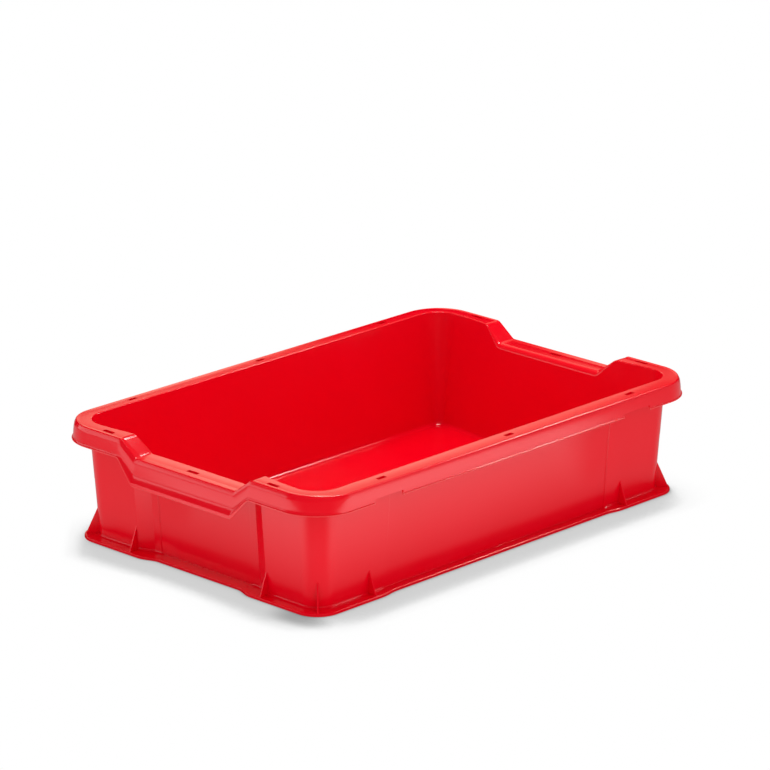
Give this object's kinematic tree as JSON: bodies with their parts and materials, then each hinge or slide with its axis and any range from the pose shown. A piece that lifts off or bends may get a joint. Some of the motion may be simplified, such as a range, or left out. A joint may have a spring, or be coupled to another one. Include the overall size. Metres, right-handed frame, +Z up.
{
  "type": "stacking storage tray",
  "caption": "Shallow open-top plastic stacking tray with drafted walls, an out-turned rim with skirt, hand dips in both ends and gusseted corner feet.",
  "frame": {"origin": "under the middle of the tray, on the surface it stands on", "axes": "+X along the tray, +Y across it towards the rear, +Z up out of its open top"},
  "size_m": [0.606, 0.4, 0.134],
  "materials": {
    "red_polypropylene": "moulded, glossy"
  },
  "bodies": {
    "root": {"base_flange_front": "red_polypropylene", "base_flange_rear": "red_polypropylene", "corner_gussets": "red_polypropylene", "corner_wall_left_front": "red_polypropylene", "corner_wall_left_rear": "red_polypropylene", "corner_wall_right_front": "red_polypropylene", "corner_wall_right_rear": "red_polypropylene", "end_cheek_left_front": "red_polypropylene", "end_cheek_left_rear": "red_polypropylene", "end_cheek_right_front": "red_polypropylene", "end_cheek_right_rear": "red_polypropylene", "end_flange_left": "red_polypropylene", "end_flange_right": "red_polypropylene", "end_panel_left": "red_polypropylene", "end_panel_right": "red_polypropylene", "end_shoulder_left_front": "red_polypropylene", "end_shoulder_left_rear": "red_polypropylene", "end_shoulder_right_front": "red_polypropylene", "end_shoulder_right_rear": "red_polypropylene", "floor_fillets": "red_polypropylene", "floor_panel": "red_polypropylene", "foot_corner_left_front": "red_polypropylene", "foot_corner_left_rear": "red_polypropylene", "foot_corner_right_front": "red_polypropylene", "foot_corner_right_rear": "red_polypropylene", "grip_skirt_left": "red_polypropylene", "grip_skirt_right": "red_polypropylene", "grip_top_left": "red_polypropylene", "grip_top_right": "red_polypropylene", "long_wall_front": "red_polypropylene", "long_wall_rear": "red_polypropylene", "rim_corner_left_front": "red_polypropylene", "rim_corner_left_rear": "red_polypropylene", "rim_corner_right_front": "red_polypropylene", "rim_corner_right_rear": "red_polypropylene", "rim_rail_front": "red_polypropylene", "rim_rail_rear": "red_polypropylene", "rim_ramp_left_front": "red_polypropylene", "rim_ramp_left_rear": "red_polypropylene", "rim_ramp_right_front": "red_polypropylene", "rim_ramp_right_rear": "red_polypropylene", "rim_shoulder_left_front": "red_polypropylene", "rim_shoulder_left_rear": "red_polypropylene", "rim_shoulder_right_front": "red_polypropylene", "rim_shoulder_right_rear": "red_polypropylene", "skirt_corner_left_front": "red_polypropylene", "skirt_corner_left_rear": "red_polypropylene", "skirt_corner_right_front": "red_polypropylene", "skirt_corner_right_rear": "red_polypropylene", "skirt_rail_front": "red_polypropylene", "skirt_rail_rear": "red_polypropylene", "skirt_ramp_left_front": "red_polypropylene", "skirt_ramp_left_rear": "red_polypropylene", "skirt_ramp_right_front": "red_polypropylene", "skirt_ramp_right_rear": "red_polypropylene", "skirt_shoulder_left_front": "red_polypropylene", "skirt_shoulder_left_rear": "red_polypropylene", "skirt_shoulder_right_front": "red_polypropylene", "skirt_shoulder_right_rear": "red_polypropylene"}
  },
  "joints": []
}
